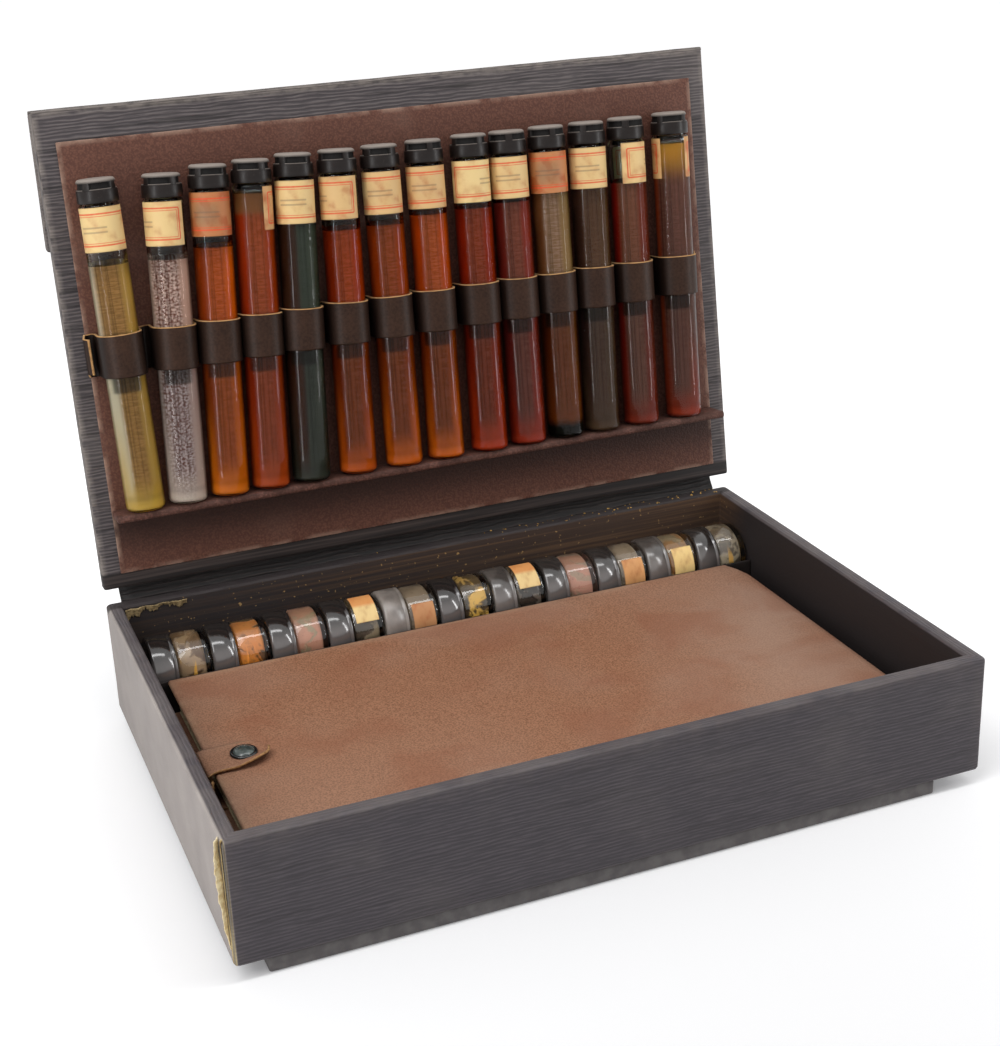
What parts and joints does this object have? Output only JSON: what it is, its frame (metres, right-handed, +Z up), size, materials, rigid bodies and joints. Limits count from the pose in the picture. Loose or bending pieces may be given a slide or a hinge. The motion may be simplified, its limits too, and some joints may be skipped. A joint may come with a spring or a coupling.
{
  "type": "salesman sample case",
  "caption": "Hinged leatherette sample case, open: capped oil vials in strap loops inside the lid, grease jars in a trough at the back and a snap-strap folder in the tray.",
  "frame": {"origin": "on the table, on the underside of the foot board, under the middle of the tray", "axes": "+X to the right along the front, +Y to the back where the lid is hinged, +Z up; the front faces -Y"},
  "size_m": [0.3052, 0.2482, 0.2648],
  "materials": {
    "leatherette": "worn ribbed leatherette over board",
    "leatherette_dusty": "dusty, rubbed leatherette over board",
    "inner_black": "dull black lining paper over board",
    "foot": "black painted board",
    "lining_brown": "pebbled brown leatherette",
    "strap_brown": "thin dark brown leather",
    "hinge_cloth": "covered book cloth",
    "folder_brown": "soft dull brown leatherette",
    "leaves": "aged paper",
    "snap_metal": "black enamelled metal",
    "vial_glass": "clear glass filled with oil, paper label",
    "cap_black": "black moulded plastic, dusty",
    "jar_glass": "clear glass filled with grease, black cap"
  },
  "bodies": {
    "tray": {"foot_board": "foot", "bottom_board": "inner_black", "front_wall": "leatherette", "back_wall": "leatherette", "left_wall": "leatherette_dusty", "right_wall": "leatherette", "jar_partition": "inner_black", "lid_hinge_cloth": "hinge_cloth"},
    "lid": {"lid_board": "leatherette", "lid_panel": "lining_brown", "vial_ledge": "lining_brown", "vial_strap": "strap_brown", "flap_hinge_cloth": "hinge_cloth"},
    "flap": {"front_flap": "leatherette"},
    "folder": {"folder_back": "folder_brown", "folder_leaves": "leaves", "folder_spine": "folder_brown"},
    "cover": {"folder_cover": "folder_brown", "snap_stud": "snap_metal"},
    "tongue": {"snap_strap": "folder_brown", "snap_cap": "snap_metal"},
    "vial_body_1": {"vial_1": "vial_glass"},
    "vial_cap_body_1": {"vial_cap_1": "cap_black"},
    "vial_body_2": {"vial_2": "vial_glass"},
    "vial_cap_body_2": {"vial_cap_2": "cap_black"},
    "vial_body_3": {"vial_3": "vial_glass"},
    "vial_cap_body_3": {"vial_cap_3": "cap_black"},
    "vial_body_4": {"vial_4": "vial_glass"},
    "vial_cap_body_4": {"vial_cap_4": "cap_black"},
    "vial_body_5": {"vial_5": "vial_glass"},
    "vial_cap_body_5": {"vial_cap_5": "cap_black"},
    "vial_body_6": {"vial_6": "vial_glass"},
    "vial_cap_body_6": {"vial_cap_6": "cap_black"},
    "vial_body_7": {"vial_7": "vial_glass"},
    "vial_cap_body_7": {"vial_cap_7": "cap_black"},
    "vial_body_8": {"vial_8": "vial_glass"},
    "vial_cap_body_8": {"vial_cap_8": "cap_black"},
    "vial_body_9": {"vial_9": "vial_glass"},
    "vial_cap_body_9": {"vial_cap_9": "cap_black"},
    "vial_body_10": {"vial_10": "vial_glass"},
    "vial_cap_body_10": {"vial_cap_10": "cap_black"},
    "vial_body_11": {"vial_11": "vial_glass"},
    "vial_cap_body_11": {"vial_cap_11": "cap_black"},
    "vial_body_12": {"vial_12": "vial_glass"},
    "vial_cap_body_12": {"vial_cap_12": "cap_black"},
    "vial_body_13": {"vial_13": "vial_glass"},
    "vial_cap_body_13": {"vial_cap_13": "cap_black"},
    "vial_body_14": {"vial_14": "vial_glass"},
    "vial_cap_body_14": {"vial_cap_14": "cap_black"},
    "jar_body_1": {"jar_1": "jar_glass"},
    "jar_body_2": {"jar_2": "jar_glass"},
    "jar_body_3": {"jar_3": "jar_glass"},
    "jar_body_4": {"jar_4": "jar_glass"},
    "jar_body_5": {"jar_5": "jar_glass"},
    "jar_body_6": {"jar_6": "jar_glass"},
    "jar_body_7": {"jar_7": "jar_glass"},
    "jar_body_8": {"jar_8": "jar_glass"},
    "jar_body_9": {"jar_9": "jar_glass"},
    "jar_body_10": {"jar_10": "jar_glass"},
    "jar_body_11": {"jar_11": "jar_glass"}
  },
  "joints": [
    {"name": "lid_hinge", "type": "hinge", "parent": "tray", "child": "lid", "pos_m": [0, 0.10465, 0.06045], "axis": [-1, 0, 0], "range_deg": [-98.4, 0], "deforming": ["lid_hinge_cloth"]},
    {"name": "flap_hinge", "type": "hinge", "parent": "lid", "child": "flap", "pos_m": [0, 0.14363, 0.26657], "axis": [-1, 0, 0], "range_deg": [-261.6, 8], "deforming": ["flap_hinge_cloth"]},
    {"name": "folder_lift", "type": "slide", "parent": "tray", "child": "folder", "axis": [0, 0, 1], "range_m": [0, 0.045]},
    {"name": "cover_hinge", "type": "hinge", "parent": "folder", "child": "cover", "pos_m": [0.13215, 0, 0.0315], "axis": [0, 1, 0], "range_deg": [0, 110], "deforming": ["folder_spine"]},
    {"name": "snap_strap_hinge", "type": "hinge", "parent": "cover", "child": "tongue", "pos_m": [-0.13915, 0, 0.0344], "axis": [0, -1, 0], "range_deg": [0, 100]},
    {"name": "vial_slide_1", "type": "slide", "parent": "lid", "child": "vial_body_1", "axis": [-0.0087, 0.1461, 0.9892], "range_m": [0, 0.078]},
    {"name": "vial_cap_turn_1", "type": "hinge", "parent": "vial_body_1", "child": "vial_cap_body_1", "pos_m": [-0.13175, 0.10708, 0.16623], "axis": [-0.0087, 0.1461, 0.9892], "continuous": true},
    {"name": "vial_slide_2", "type": "slide", "parent": "lid", "child": "vial_body_2", "axis": [0.0523, 0.1459, 0.9879], "range_m": [0, 0.078]},
    {"name": "vial_cap_turn_2", "type": "hinge", "parent": "vial_body_2", "child": "vial_cap_body_2", "pos_m": [-0.10935, 0.10708, 0.16623], "axis": [0.0523, 0.1459, 0.9879], "continuous": true},
    {"name": "vial_slide_3", "type": "slide", "parent": "lid", "child": "vial_body_3", "axis": [0.061, 0.1458, 0.9874], "range_m": [0, 0.078]},
    {"name": "vial_cap_turn_3", "type": "hinge", "parent": "vial_body_3", "child": "vial_cap_body_3", "pos_m": [-0.09035, 0.10708, 0.16623], "axis": [0.061, 0.1458, 0.9874], "continuous": true},
    {"name": "vial_slide_4", "type": "slide", "parent": "lid", "child": "vial_body_4", "axis": [0.061, 0.1458, 0.9874], "range_m": [0, 0.078]},
    {"name": "vial_cap_turn_4", "type": "hinge", "parent": "vial_body_4", "child": "vial_cap_body_4", "pos_m": [-0.07205, 0.10708, 0.16623], "axis": [0.061, 0.1458, 0.9874], "continuous": true},
    {"name": "vial_slide_5", "type": "slide", "parent": "lid", "child": "vial_body_5", "axis": [0.061, 0.1458, 0.9874], "range_m": [0, 0.078]},
    {"name": "vial_cap_turn_5", "type": "hinge", "parent": "vial_body_5", "child": "vial_cap_body_5", "pos_m": [-0.05375, 0.10708, 0.16623], "axis": [0.061, 0.1458, 0.9874], "continuous": true},
    {"name": "vial_slide_6", "type": "slide", "parent": "lid", "child": "vial_body_6", "axis": [0.0436, 0.1459, 0.9883], "range_m": [0, 0.078]},
    {"name": "vial_cap_turn_6", "type": "hinge", "parent": "vial_body_6", "child": "vial_cap_body_6", "pos_m": [-0.03335, 0.10708, 0.16623], "axis": [0.0436, 0.1459, 0.9883], "continuous": true},
    {"name": "vial_slide_7", "type": "slide", "parent": "lid", "child": "vial_body_7", "axis": [0.0262, 0.146, 0.9889], "range_m": [0, 0.078]},
    {"name": "vial_cap_turn_7", "type": "hinge", "parent": "vial_body_7", "child": "vial_cap_body_7", "pos_m": [-0.01295, 0.10708, 0.16623], "axis": [0.0262, 0.146, 0.9889], "continuous": true},
    {"name": "vial_slide_8", "type": "slide", "parent": "lid", "child": "vial_body_8", "axis": [0.0262, 0.146, 0.9889], "range_m": [0, 0.078]},
    {"name": "vial_cap_turn_8", "type": "hinge", "parent": "vial_body_8", "child": "vial_cap_body_8", "pos_m": [0.00715, 0.10708, 0.16623], "axis": [0.0262, 0.146, 0.9889], "continuous": true},
    {"name": "vial_slide_9", "type": "slide", "parent": "lid", "child": "vial_body_9", "axis": [0.0262, 0.146, 0.9889], "range_m": [0, 0.078]},
    {"name": "vial_cap_turn_9", "type": "hinge", "parent": "vial_body_9", "child": "vial_cap_body_9", "pos_m": [0.02825, 0.10708, 0.16623], "axis": [0.0262, 0.146, 0.9889], "continuous": true},
    {"name": "vial_slide_10", "type": "slide", "parent": "lid", "child": "vial_body_10", "axis": [0.0175, 0.1461, 0.9891], "range_m": [0, 0.078]},
    {"name": "vial_cap_turn_10", "type": "hinge", "parent": "vial_body_10", "child": "vial_cap_body_10", "pos_m": [0.04685, 0.10708, 0.16623], "axis": [0.0175, 0.1461, 0.9891], "continuous": true},
    {"name": "vial_slide_11", "type": "slide", "parent": "lid", "child": "vial_body_11", "axis": [0.0175, 0.1461, 0.9891], "range_m": [0, 0.078]},
    {"name": "vial_cap_turn_11", "type": "hinge", "parent": "vial_body_11", "child": "vial_cap_body_11", "pos_m": [0.06575, 0.10708, 0.16623], "axis": [0.0175, 0.1461, 0.9891], "continuous": true},
    {"name": "vial_slide_12", "type": "slide", "parent": "lid", "child": "vial_body_12", "axis": [0.0262, 0.146, 0.9889], "range_m": [0, 0.078]},
    {"name": "vial_cap_turn_12", "type": "hinge", "parent": "vial_body_12", "child": "vial_cap_body_12", "pos_m": [0.08475, 0.10708, 0.16623], "axis": [0.0262, 0.146, 0.9889], "continuous": true},
    {"name": "vial_slide_13", "type": "slide", "parent": "lid", "child": "vial_body_13", "axis": [0.0175, 0.1461, 0.9891], "range_m": [0, 0.078]},
    {"name": "vial_cap_turn_13", "type": "hinge", "parent": "vial_body_13", "child": "vial_cap_body_13", "pos_m": [0.10465, 0.10708, 0.16623], "axis": [0.0175, 0.1461, 0.9891], "continuous": true},
    {"name": "vial_slide_14", "type": "slide", "parent": "lid", "child": "vial_body_14", "axis": [0.0175, 0.1461, 0.9891], "range_m": [0, 0.078]},
    {"name": "vial_cap_turn_14", "type": "hinge", "parent": "vial_body_14", "child": "vial_cap_body_14", "pos_m": [0.12695, 0.10708, 0.16623], "axis": [0.0175, 0.1461, 0.9891], "continuous": true},
    {"name": "jar_lift_1", "type": "slide", "parent": "tray", "child": "jar_body_1", "axis": [0, 0, 1], "range_m": [0, 0.045]},
    {"name": "jar_lift_2", "type": "slide", "parent": "tray", "child": "jar_body_2", "axis": [0, 0, 1], "range_m": [0, 0.045]},
    {"name": "jar_lift_3", "type": "slide", "parent": "tray", "child": "jar_body_3", "axis": [0, 0, 1], "range_m": [0, 0.045]},
    {"name": "jar_lift_4", "type": "slide", "parent": "tray", "child": "jar_body_4", "axis": [0, 0, 1], "range_m": [0, 0.045]},
    {"name": "jar_lift_5", "type": "slide", "parent": "tray", "child": "jar_body_5", "axis": [0, 0, 1], "range_m": [0, 0.045]},
    {"name": "jar_lift_6", "type": "slide", "parent": "tray", "child": "jar_body_6", "axis": [0, 0, 1], "range_m": [0, 0.045]},
    {"name": "jar_lift_7", "type": "slide", "parent": "tray", "child": "jar_body_7", "axis": [0, 0, 1], "range_m": [0, 0.045]},
    {"name": "jar_lift_8", "type": "slide", "parent": "tray", "child": "jar_body_8", "axis": [0, 0, 1], "range_m": [0, 0.045]},
    {"name": "jar_lift_9", "type": "slide", "parent": "tray", "child": "jar_body_9", "axis": [0, 0, 1], "range_m": [0, 0.045]},
    {"name": "jar_lift_10", "type": "slide", "parent": "tray", "child": "jar_body_10", "axis": [0, 0, 1], "range_m": [0, 0.045]},
    {"name": "jar_lift_11", "type": "slide", "parent": "tray", "child": "jar_body_11", "axis": [0, 0, 1], "range_m": [0, 0.045]}
  ]
}
